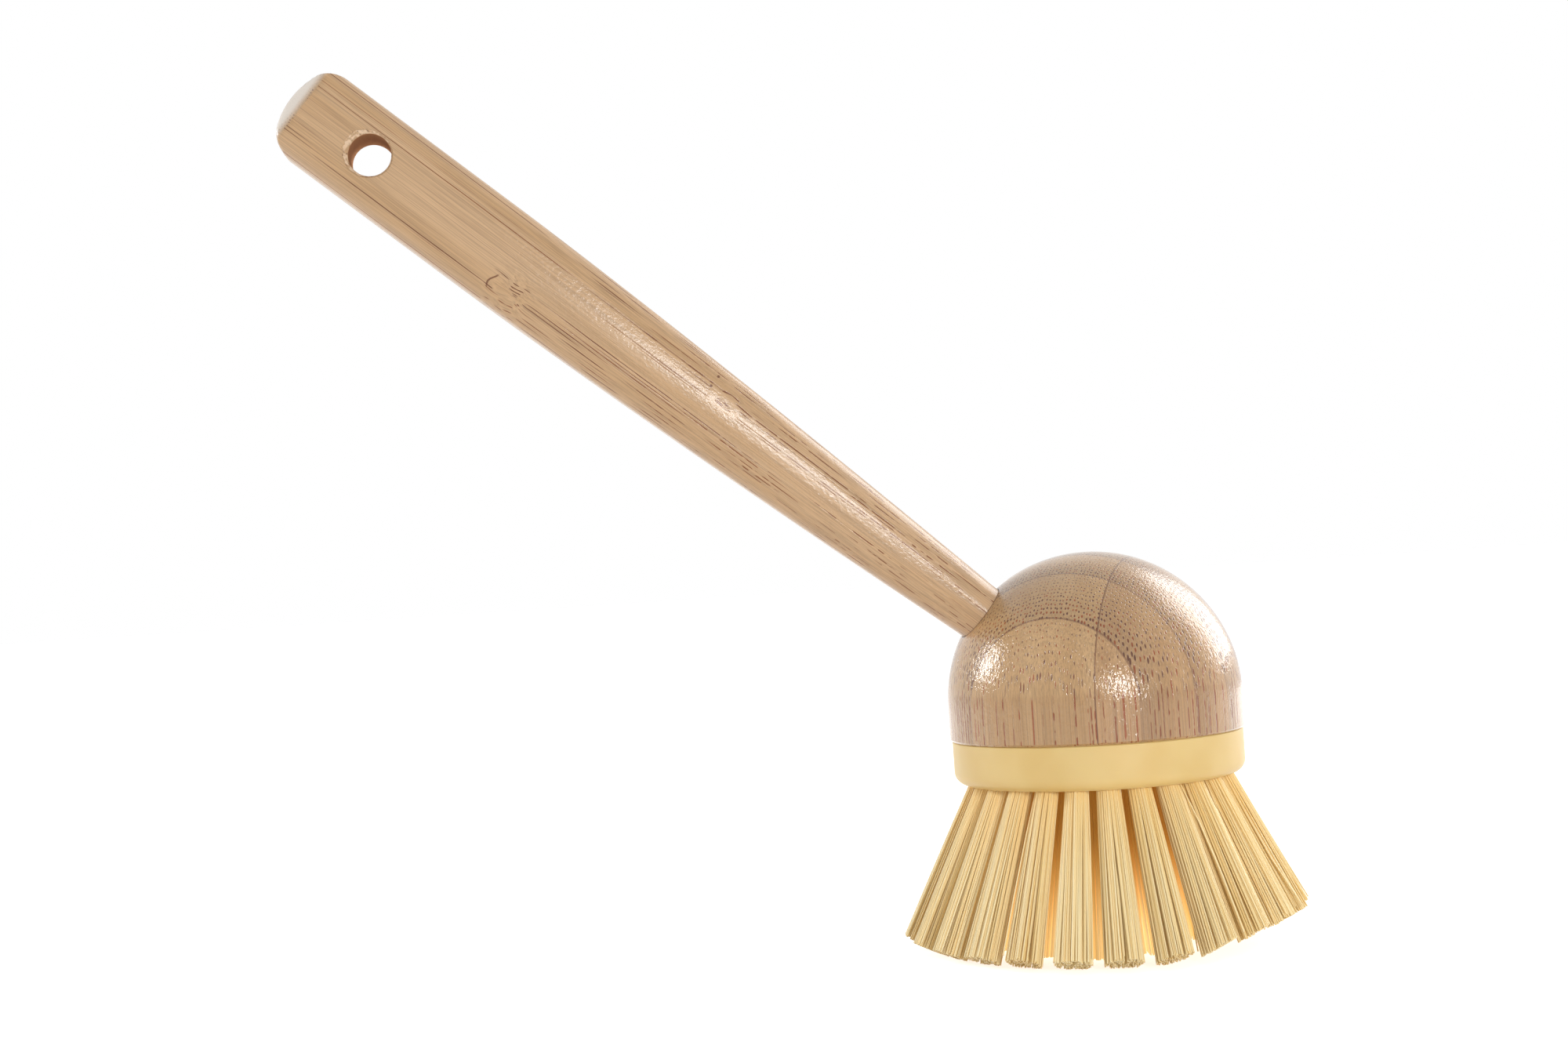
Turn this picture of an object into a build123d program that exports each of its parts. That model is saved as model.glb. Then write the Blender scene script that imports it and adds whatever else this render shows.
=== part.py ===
from build123d import *
from math import ceil, cos, radians, sin, tan
import os

# Dish brush: a bamboo handle glued at a slant into a turned, laminated bamboo
# head, over a moulded brush plate whose tufts are stapled in with flat anchors.
# Millimetres, +Z up along the head's axis. The origin lies on that axis, in the
# plane that the lowest tufts are trimmed to. The handle leans towards -X.

# Head: a half ball over a short straight skirt
head_radius = 30.0
skirt_height = 7.1
rim_break = 0.4
stave_thickness = 9.2
front_stave_depth = 5.65
cross_seam_offset = 9.75
lamination_turn = -32.5

# Brush plate and the spigot that seats it in the head
plate_diameter = 59.0
plate_thickness = 9.0
plate_edge_radius = 2.6
plate_top_break = 0.3
spigot_diameter = 40.0
spigot_height = 6.0
spigot_wall = 3.0
spigot_clearance = 0.3

# Tufts: rings of holes in the plate, each hole's bundle splaying outwards
tuft_height = 32.7
outer_tuft_length = 34.9
hole_diameter = 4.6
hole_depth = 6.6
root_clearance = 0.05
root_rise_height = 0.9
outer_ring_radius = 24.2
outer_ring_splay = 25.0
outer_ring_count = 25
outer_ring_start = 4.25
middle_ring_radius = 15.0
middle_ring_splay = 15.5
middle_ring_count = 12
middle_ring_start = 10.9
inner_ring_radius = 8.5
inner_ring_splay = 7.8
inner_ring_count = 5
inner_ring_start = 40.5

# Strands of a tuft: one in the middle and a circle of them around it
strand_width = 0.85
strand_circle_count = 9
strand_root_radius = 1.55
strand_tip_radius = 2.9
strand_bite_depth = 0.5

# Anchors: flat strips of wire across the folded end of each tuft
anchor_length = 5.4
anchor_width = 1.6
anchor_thickness = 0.35
anchor_setback = 1.2
anchor_clearance = 0.03

# Handle: round neck, tapering grip, crowned end with a hanging hole
handle_lean = 40.0
neck_diameter = 12.0
neck_reach = 31.0
grip_width = 19.6
grip_thickness = 12.6
grip_reach = 150.0
handle_reach = 201.8
crown_radius = 13.8
end_round = 2.8
taper_power = 1.6
taper_station_count = 6
neck_corner_share = 0.985
grip_corner_share = 0.70
hang_hole_diameter = 8.5
hang_hole_setback = 19.9
hang_hole_chamfer = 0.4
tenon_depth = 16.0
bore_clearance = 0.1
bore_end_gap = 0.4

# One overrun for every cut
overrun = 2.0

plate_bottom = tuft_height
plate_top = plate_bottom + plate_thickness
ball_centre = plate_top + skirt_height
head_top = ball_centre + head_radius
recess_radius = spigot_diameter / 2 + spigot_clearance
recess_depth = spigot_height + spigot_clearance
tenon_end = head_radius - tenon_depth
bore_radius = neck_diameter / 2 + bore_clearance
bore_end = tenon_end - bore_end_gap
hang_hole_reach = handle_reach - hang_hole_setback
front_seam_offset = head_radius - front_stave_depth

lean = radians(handle_lean)
along_handle = Vector(-cos(lean), 0, sin(lean))
across_handle = Vector(sin(lean), 0, cos(lean))
handle_plane = Plane(origin=(0, 0, ball_centre), x_dir=across_handle, z_dir=along_handle)
side_plane = Plane(origin=(0, 0, ball_centre), x_dir=along_handle, z_dir=(0, 1, 0))

os.makedirs("parts", exist_ok=True)


def save(piece, name):
    """Label a finished piece and write it under its node's name."""
    piece.label = name
    export_step(piece, f"parts/{name}.step")


# Handle
def taper_section(reach):
    """Width, thickness and corner radius of the handle at a distance from the ball's centre."""
    narrowing = max(0, (grip_reach - reach) / (grip_reach - neck_reach))
    blend = narrowing**taper_power
    width = grip_width - (grip_width - neck_diameter) * blend
    thickness = grip_thickness - (grip_thickness - neck_diameter) * blend
    corner_share = grip_corner_share + (neck_corner_share - grip_corner_share) * narrowing
    return width, thickness, corner_share * thickness / 2


with BuildPart() as handle:
    # The tapering stretch, through sections from the neck to the full grip
    taper_step = (grip_reach - neck_reach) / (taper_station_count - 1)
    for station in range(taper_station_count):
        reach = neck_reach + taper_step * station
        with BuildSketch(handle_plane.offset(reach)):
            RectangleRounded(*taper_section(reach))
    loft()

    # The straight grip and, at the other end, the tenon that the head takes
    with BuildSketch(handle_plane.offset(grip_reach)):
        RectangleRounded(*taper_section(grip_reach))
    extrude(amount=handle_reach + overrun - grip_reach)
    with BuildSketch(handle_plane.offset(neck_reach)):
        RectangleRounded(*taper_section(neck_reach))
    extrude(amount=tenon_end - neck_reach)

    # The crowned end: everything past an arc across the width is taken off
    crown_half = grip_width / 2 + overrun
    crown_start = handle_reach - crown_radius + (crown_radius**2 - crown_half**2) ** 0.5
    crown_stop = handle_reach + overrun * 2
    with BuildSketch(side_plane):
        with BuildLine():
            ThreePointArc((crown_start, -crown_half), (handle_reach, 0), (crown_start, crown_half))
            Polyline(
                (crown_start, crown_half),
                (crown_stop, crown_half),
                (crown_stop, -crown_half),
                (crown_start, -crown_half),
            )
        make_face()
    extrude(amount=grip_thickness, both=True, mode=Mode.SUBTRACT)
    crown_face = handle.faces().sort_by(Axis((0, 0, ball_centre), along_handle))[-1]
    fillet(crown_face.edges(), radius=end_round)

    # The hanging hole, level and square to the grip, with its rims eased
    with BuildSketch(side_plane):
        with Locations((hang_hole_reach, 0)):
            Circle(hang_hole_diameter / 2)
    extrude(amount=grip_thickness, both=True, mode=Mode.SUBTRACT)
    rims = handle.edges().filter_by(GeomType.CIRCLE)
    rims = rims.filter_by(lambda edge: abs(edge.radius - hang_hole_diameter / 2) < hang_hole_chamfer)
    chamfer(rims, length=hang_hole_chamfer)

save(handle.part, "handle")


# Head, turned from a block of glued staves
with BuildPart() as head:
    with BuildSketch(Plane.XZ):
        with BuildLine():
            Polyline((0, head_top), (0, plate_top), (head_radius, plate_top), (head_radius, ball_centre))
            RadiusArc((head_radius, ball_centre), (0, head_top), -head_radius)
        make_face()
    revolve(axis=Axis.Z)
    chamfer(head.edges().group_by(Axis.Z)[0], length=rim_break)
    with BuildSketch(Plane.XY.offset(plate_top)):
        Circle(recess_radius)
    extrude(amount=recess_depth, mode=Mode.SUBTRACT)
    with BuildSketch(handle_plane.offset(bore_end)):
        Circle(bore_radius)
    extrude(amount=head_radius, mode=Mode.SUBTRACT)

turn = radians(lamination_turn)
across_staves = Vector(cos(turn), sin(turn), 0)
lamination_plane = Plane(origin=(0, 0, plate_top), x_dir=across_staves, z_dir=(0, 0, 1))
stave_count = ceil((head_radius + front_seam_offset) / stave_thickness) + 1
columns = {
    "left": (-head_radius - overrun, cross_seam_offset),
    "right": (cross_seam_offset, head_radius + overrun),
}

for layer in range(stave_count):
    stave_back = stave_thickness * layer - front_seam_offset
    nearest = max(0, stave_back - stave_thickness, -stave_back)
    layer_half_width = (head_radius**2 - nearest**2) ** 0.5
    for side, (start, stop) in columns.items():
        # A thin outer layer may not reach the right column
        if start >= layer_half_width:
            continue
        with BuildPart() as stave:
            with BuildSketch(lamination_plane):
                with Locations(((start + stop) / 2, stave_back - stave_thickness / 2)):
                    Rectangle(stop - start, stave_thickness)
            extrude(amount=head_top - plate_top + overrun)
            add(head.part, mode=Mode.INTERSECT)
        save(stave.part, f"head_stave_{layer + 1}_{side}")


# Tufts
def tuft_mouths(radius, splay, count, start):
    """Planes across a ring's hole mouths, each facing out along its tuft.

    Angles run from the front towards +X, and each plane's x lies along the ring.
    """
    tilt = radians(splay)
    mouths = []
    for place in range(count):
        angle = radians(start + 360 / count * place)
        outward = Vector(sin(angle), -cos(angle), 0)
        around = Vector(cos(angle), sin(angle), 0)
        axis = outward * sin(tilt) + Vector(0, 0, -cos(tilt))
        mouths.append(Plane(origin=outward * radius + Vector(0, 0, plate_bottom), x_dir=around, z_dir=axis))
    return mouths


# The outer tufts are cut square to their length, so that they only touch the floor
# plane with their inner edges. The others are made too long and trimmed in it.
rings = {
    "outer": (outer_ring_radius, outer_ring_splay, outer_ring_count, outer_ring_start),
    "middle": (middle_ring_radius, middle_ring_splay, middle_ring_count, middle_ring_start),
    "inner": (inner_ring_radius, inner_ring_splay, inner_ring_count, inner_ring_start),
    "centre": (0, 0, 1, 0),
}
mouths = {name: tuft_mouths(*ring) for name, ring in rings.items()}
all_mouths = [mouth for ring_mouths in mouths.values() for mouth in ring_mouths]


def strand_length(name, splay):
    """How far a ring's strands run from the plate."""
    if name == "outer":
        return outer_tuft_length
    return tuft_height / cos(radians(splay)) + strand_tip_radius


def make_strands(mouth, length):
    """One straight four-sided strand in the middle of a tuft and a circle around it, fanning out."""
    root_plane = mouth.offset(root_rise_height - strand_bite_depth)
    tip_plane = mouth.offset(length)
    spots = [Vector(0, 0)]
    for place in range(strand_circle_count):
        angle = radians(360 / strand_circle_count * place)
        spots.append(Vector(cos(angle), sin(angle)))
    strands = []
    for spot in spots:
        root = root_plane * Pos(spot * strand_root_radius) * Rectangle(strand_width, strand_width)
        tip = tip_plane * Pos(spot * strand_tip_radius) * Rectangle(strand_width, strand_width)
        strands.append(Solid.make_loft([root.wire(), tip.wire()], ruled=True))
    return strands


def make_tuft(mouth, length):
    """A bundle in its hole, slotted for its anchor, with nothing left below the floor plane."""
    strands = make_strands(mouth, length)
    with BuildPart() as tuft:
        with BuildSketch(mouth.offset(-hole_depth + root_clearance)):
            Circle(hole_diameter / 2 - root_clearance)
        extrude(amount=hole_depth - root_clearance + root_rise_height)
        with BuildSketch(mouth.offset(-hole_depth + anchor_setback - anchor_clearance)):
            Rectangle(anchor_length, anchor_thickness + anchor_clearance * 2)
        extrude(amount=anchor_width + anchor_clearance * 2, mode=Mode.SUBTRACT)
        add(strands)
        split(bisect_by=Plane.XY, keep=Keep.TOP)
    return tuft.part


for name, (radius, splay, count, start) in rings.items():
    first_tuft = make_tuft(mouths[name][0], strand_length(name, splay))
    for place in range(count):
        tuft = first_tuft.rotate(Axis.Z, 360 / count * place)
        save(tuft, f"tuft_{name}_{place + 1:02d}")


# Anchors, alike in every hole
with BuildPart() as anchors:
    for mouth in all_mouths:
        with BuildSketch(mouth.offset(-hole_depth + anchor_setback)):
            Rectangle(anchor_length, anchor_thickness)
    extrude(amount=anchor_width)

save(anchors.part, "tuft_anchors")


# Brush plate, with a hole for each tuft and a bite at both sides of it for the anchor
with BuildPart() as plate:
    with BuildSketch(Plane.XY.offset(plate_bottom)):
        Circle(plate_diameter / 2)
    extrude(amount=plate_thickness)
    fillet(plate.edges().group_by(Axis.Z)[0], radius=plate_edge_radius)
    chamfer(plate.edges().group_by(Axis.Z)[-1], length=plate_top_break)
    with BuildSketch(Plane.XY.offset(plate_top)):
        Circle(spigot_diameter / 2)
        Circle(spigot_diameter / 2 - spigot_wall, mode=Mode.SUBTRACT)
    extrude(amount=spigot_height)
    for mouth in all_mouths:
        with BuildSketch(mouth.offset(-hole_depth)):
            Circle(hole_diameter / 2)
    extrude(amount=hole_depth + overrun, mode=Mode.SUBTRACT)
    for mouth in all_mouths:
        with BuildSketch(mouth.offset(-hole_depth + anchor_setback - anchor_clearance)):
            Rectangle(anchor_length + anchor_clearance * 2, anchor_thickness + anchor_clearance * 2)
    extrude(amount=anchor_width + anchor_clearance * 2, mode=Mode.SUBTRACT)

save(plate.part, "brush_plate")
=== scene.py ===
"""Looks of a bamboo dish brush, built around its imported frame.

Everything is in metres, with +Z up along the head's axis, the origin in the plane of the bristle tips,
and the handle leaning towards -X.
"""

from __future__ import annotations

import logging
import math
import random
from dataclasses import dataclass, field
from enum import Enum

import bpy
import numpy as np
from mathutils import Matrix, Vector

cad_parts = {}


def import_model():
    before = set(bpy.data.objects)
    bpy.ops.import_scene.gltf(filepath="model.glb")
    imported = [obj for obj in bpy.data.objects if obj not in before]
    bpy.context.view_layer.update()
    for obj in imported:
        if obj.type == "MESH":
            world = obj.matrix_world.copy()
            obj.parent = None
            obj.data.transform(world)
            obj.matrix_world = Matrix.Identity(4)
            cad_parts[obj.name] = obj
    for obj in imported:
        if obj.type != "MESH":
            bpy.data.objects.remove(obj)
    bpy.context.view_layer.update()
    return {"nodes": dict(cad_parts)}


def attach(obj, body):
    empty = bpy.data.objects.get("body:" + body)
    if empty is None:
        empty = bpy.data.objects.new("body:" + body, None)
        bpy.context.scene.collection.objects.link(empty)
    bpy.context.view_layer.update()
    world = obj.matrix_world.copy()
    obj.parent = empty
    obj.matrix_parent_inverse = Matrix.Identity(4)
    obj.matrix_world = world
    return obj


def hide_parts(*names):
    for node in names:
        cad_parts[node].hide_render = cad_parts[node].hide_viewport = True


LOG = logging.getLogger("dish_brush")

MM = 0.001

# Sockets of the Mix node's colours
COLOUR_A = 6
COLOUR_B = 7
COLOUR_MIXED = 2

GOLDEN_ANGLE = math.pi * (3 - math.sqrt(5))

Colour = tuple[float, float, float]
Rates = tuple[float, float, float]
Span = tuple[float, float]
Band = tuple[float, float, float]
Step = tuple[float, float, float, float]
Socket = bpy.types.NodeSocket


class Slot(Enum):
    """Material slots of the record."""

    HANDLE = "handle_bamboo"
    HEAD = "head_bamboo"
    PLATE = "plate_plastic"
    BRISTLE = "bristle"
    WIRE = "anchor_wire"


class Body(Enum):
    """Bodies of the frame."""

    BRUSH = "brush"
    REFILL = "refill"


def linear(red: int, green: int, blue: int) -> Colour:
    """Scene colour of a display colour.

    Args:
        red: Red as shown, 0 to 255.
        green: Green as shown, 0 to 255.
        blue: Blue as shown, 0 to 255.

    Returns:
        The same colour in linear light, 0 to 1.
    """

    def channel(value: int) -> float:
        """One channel of it."""
        share = value / 255
        return share / 12.92 if share <= 0.04045 else ((share + 0.055) / 1.055) ** 2.4

    return channel(red), channel(green), channel(blue)


def deselect_all() -> None:
    """Leaves nothing selected, in object mode."""
    if bpy.context.object and bpy.context.object.mode != "OBJECT":
        bpy.ops.object.mode_set(mode="OBJECT")
    bpy.ops.object.select_all(action="DESELECT")


def activate(piece: bpy.types.Object) -> None:
    """Selects one object alone and makes it active."""
    deselect_all()
    piece.select_set(True)
    bpy.context.view_layer.objects.active = piece


def linked(name: str, data: bpy.types.ID) -> bpy.types.Object:
    """A new object in the scene that shows the given data."""
    piece = bpy.data.objects.new(name, data)
    bpy.context.collection.objects.link(piece)
    return piece


def rotation(degrees: float, axis: str) -> Matrix:
    """A rotation about one of the axes."""
    return Matrix.Rotation(math.radians(degrees), 4, axis)


def ring_place(point: Vector, count: int) -> int:
    """Number of a point among evenly spaced ones about Z, counted from +X."""
    return round(math.atan2(point.y, point.x) / math.tau * count) % count


def weld(gap: float) -> None:
    """Joins the edited mesh's points that lie closer than a gap, turns its faces outward and ends the edit.

    Args:
        gap: The largest distance that is closed.
    """
    bpy.ops.mesh.select_all(action="SELECT")
    bpy.ops.mesh.remove_doubles(threshold=gap)
    bpy.ops.mesh.normals_make_consistent(inside=False)
    bpy.ops.object.mode_set(mode="OBJECT")


def cut(piece: bpy.types.Object, cutter: bpy.types.Object) -> None:
    """Takes a cutter's volume out of a piece and deletes the cutter.

    Args:
        piece: The piece that is cut.
        cutter: The closed mesh that is taken away.
    """
    bpy.context.view_layer.update()
    activate(piece)
    boolean = piece.modifiers.new("cut", "BOOLEAN")
    boolean.operation = "DIFFERENCE"
    boolean.solver = "EXACT"
    boolean.object = cutter
    bpy.ops.object.modifier_apply(modifier=boolean.name)
    bpy.data.objects.remove(cutter)


def spun(name: str, outline: list[Span], steps: int) -> bpy.types.Object:
    """A closed solid of revolution about Z.

    Args:
        name: The piece's name.
        outline: Radius and height of each point, from one end on the axis to the other.
        steps: How many facets go round.

    Returns:
        The new object, at the origin.
    """
    mesh = bpy.data.meshes.new(name)
    points = [(radius, 0.0, height) for radius, height in outline]
    mesh.from_pydata(points, [(place, place + 1) for place in range(len(points) - 1)], [])
    piece = linked(name, mesh)
    activate(piece)
    bpy.ops.object.mode_set(mode="EDIT")
    bpy.ops.mesh.select_all(action="SELECT")
    bpy.ops.mesh.spin(steps=steps, angle=math.tau, center=(0, 0, 0), axis=(0, 0, 1))
    weld(0.001 * MM)
    return piece


def arc(radius: float, centre: Span, start: float, stop: float, count: int) -> list[Span]:
    """Points along an arc of an outline.

    Args:
        radius: The arc's radius.
        centre: Its centre, as radius from the axis and height.
        start: Angle of the first point, in degrees from straight out.
        stop: Angle of the last point.
        count: How many steps lie between them.

    Returns:
        The points, both ends among them.
    """
    angles = [math.radians(start + (stop - start) * step / count) for step in range(count + 1)]
    middle, height = centre
    return [(middle + radius * math.cos(angle), height + radius * math.sin(angle)) for angle in angles]


def finish_piece(
    piece: bpy.types.Object,
    body: Body,
    finish: bpy.types.Material,
    stands_for: list[str],
    smooth_angle: float = 35.0,
) -> None:
    """Applies a new piece's place, smooths and dresses it, and ties it to the frame.

    Args:
        piece: The piece, made at its own place.
        body: The body that it moves with.
        finish: Its material.
        stands_for: The frame's nodes that it replaces.
        smooth_angle: Edges sharper than this many degrees stay sharp.
    """
    activate(piece)
    bpy.ops.object.transform_apply(location=True, rotation=True, scale=True)
    bpy.ops.object.shade_smooth_by_angle(angle=math.radians(smooth_angle))
    piece.data.materials.clear()
    piece.data.materials.append(finish)
    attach(piece, body.value)
    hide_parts(*stands_for)
    LOG.info("%s: %d faces, for %s", piece.name, len(piece.data.polygons), ", ".join(stands_for))


def preset(node: bpy.types.Node, values: dict[str, object]) -> None:
    """Writes constants on a node's own sockets."""
    for label, value in values.items():
        node.inputs[label].default_value = value


class Graph:
    """A shader or group node tree under construction."""

    def __init__(self, tree: bpy.types.NodeTree) -> None:
        """Starts on an empty tree."""
        self.tree = tree
        self.tree.nodes.clear()

    def add(self, kind: str, **settings: object) -> bpy.types.Node:
        """A new node with the given settings."""
        node = self.tree.nodes.new(kind)
        for name, value in settings.items():
            setattr(node, name, value)
        return node

    def feed(self, target: Socket, source: object) -> None:
        """Links a socket to a target, or writes a constant there."""
        if isinstance(source, bpy.types.NodeSocket):
            self.tree.links.new(source, target)
        elif hasattr(target.default_value, "__len__") and not hasattr(source, "__len__"):
            target.default_value = [source] * len(target.default_value)
        elif hasattr(source, "__len__") and len(target.default_value) == 4 and len(source) == 3:
            target.default_value = (*source, 1.0)
        else:
            target.default_value = source

    def maths(self, operation: str, *values: object, clamp: bool = False) -> Socket:
        """One step of arithmetic on numbers."""
        node = self.add("ShaderNodeMath", operation=operation, use_clamp=clamp)
        for target, value in zip(node.inputs, values):
            self.feed(target, value)
        return node.outputs[0]

    def times(self, first: object, *others: object) -> Socket:
        """Numbers multiplied together."""
        for other in others:
            first = self.maths("MULTIPLY", first, other)
        return first

    def most(self, first: object, *others: object) -> Socket:
        """The largest of some numbers."""
        for other in others:
            first = self.maths("MAXIMUM", first, other)
        return first

    def line(self, value: object, slope: object, base: object) -> Socket:
        """A number times a slope, plus a base."""
        return self.maths("MULTIPLY_ADD", value, slope, base)

    def apart(self, first: object, second: object) -> Socket:
        """How far two numbers lie apart."""
        return self.maths("ABSOLUTE", self.maths("SUBTRACT", first, second))

    def vector(self, operation: str, *values: object) -> Socket:
        """One step of arithmetic on vectors."""
        node = self.add("ShaderNodeVectorMath", operation=operation)
        for target, value in zip(node.inputs, values):
            self.feed(target, value)
        return node.outputs["Value" if operation in ("LENGTH", "DOT_PRODUCT", "DISTANCE") else "Vector"]

    def scaled(self, value: Socket, factors: Rates) -> Socket:
        """A vector with each part multiplied."""
        return self.vector("MULTIPLY", value, factors)

    def parts(self, value: Socket) -> tuple[Socket, Socket, Socket]:
        """X, Y and Z of a vector."""
        node = self.add("ShaderNodeSeparateXYZ")
        self.feed(node.inputs[0], value)
        return node.outputs[0], node.outputs[1], node.outputs[2]

    def combined(self, x: object, y: object, z: object) -> Socket:
        """A vector of three numbers."""
        node = self.add("ShaderNodeCombineXYZ")
        for target, value in zip(node.inputs, (x, y, z)):
            self.feed(target, value)
        return node.outputs[0]

    def ranged(
        self, value: object, low: object, high: object, to_low: object = 0.0, to_high: object = 1.0
    ) -> Socket:
        """A number carried smoothly from one range to another, and held at its ends."""
        node = self.add("ShaderNodeMapRange", interpolation_type="SMOOTHSTEP")
        for target, item in zip(node.inputs, (value, low, high, to_low, to_high)):
            self.feed(target, item)
        return node.outputs[0]

    def window(self, value: object, centre: float, half: float, soft: float) -> Socket:
        """One inside a stretch of a number's range, nought outside it, with soft ends."""
        return self.ranged(self.apart(value, centre), half + soft, half - soft)

    def noise(
        self, place: Socket, rates: Rates, detail: float = 2.0, roughness: float = 0.5, output: str = "Fac"
    ) -> Socket:
        """Noise at a place, which changes at its own rate along each axis."""
        node = self.add("ShaderNodeTexNoise")
        self.feed(node.inputs["Vector"], self.scaled(place, rates))
        preset(node, {"Scale": 1.0, "Detail": detail, "Roughness": roughness})
        return node.outputs[output]

    def stirred(self, base: Socket, place: Socket, rates: Rates, push: Socket, detail: float = 2.0) -> Socket:
        """A vector pushed about in X and Y by the noise at a place."""
        stir = self.vector("SUBTRACT", self.noise(place, rates, detail, output="Color"), (0.5,) * 3)
        return self.vector("ADD", base, self.vector("MULTIPLY", stir, self.combined(push, push, 0.0)))

    def mixed(self, factor: object, first: object, second: object, blend: str = "MIX") -> Socket:
        """Two colours mixed."""
        node = self.add("ShaderNodeMix", data_type="RGBA", blend_type=blend, clamp_factor=True)
        self.feed(node.inputs["Factor"], factor)
        self.feed(node.inputs[COLOUR_A], first)
        self.feed(node.inputs[COLOUR_B], second)
        return node.outputs[COLOUR_MIXED]

    def dimmed(self, colour: object, share: Socket) -> Socket:
        """A colour times a grey."""
        return self.mixed(1.0, colour, self.combined(share, share, share), "MULTIPLY")

    def bump(self, height: Socket, distance: float, strength: object = 1.0) -> Socket:
        """A normal from a height that is counted in the given distance."""
        node = self.add("ShaderNodeBump")
        preset(node, {"Distance": distance})
        self.feed(node.inputs["Strength"], strength)
        self.feed(node.inputs["Height"], height)
        return node.outputs["Normal"]

    def fine_place(self) -> Socket:
        """Object coordinates in millimetres."""
        return self.scaled(self.add("ShaderNodeTexCoord").outputs["Object"], (1 / MM,) * 3)


def new_group(
    name: str, inputs: dict[str, str], outputs: dict[str, str]
) -> tuple[Graph, bpy.types.Node, bpy.types.Node]:
    """An empty shader node group.

    Args:
        name: The group's name.
        inputs: Kind of socket by input name.
        outputs: Kind of socket by output name.

    Returns:
        The group's graph, its input node and its output node.
    """
    tree = bpy.data.node_groups.new(name, "ShaderNodeTree")
    for label, kind in inputs.items():
        tree.interface.new_socket(label, in_out="INPUT", socket_type=kind)
    for label, kind in outputs.items():
        tree.interface.new_socket(label, in_out="OUTPUT", socket_type=kind)
    graph = Graph(tree)
    return graph, graph.add("NodeGroupInput"), graph.add("NodeGroupOutput")


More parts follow.
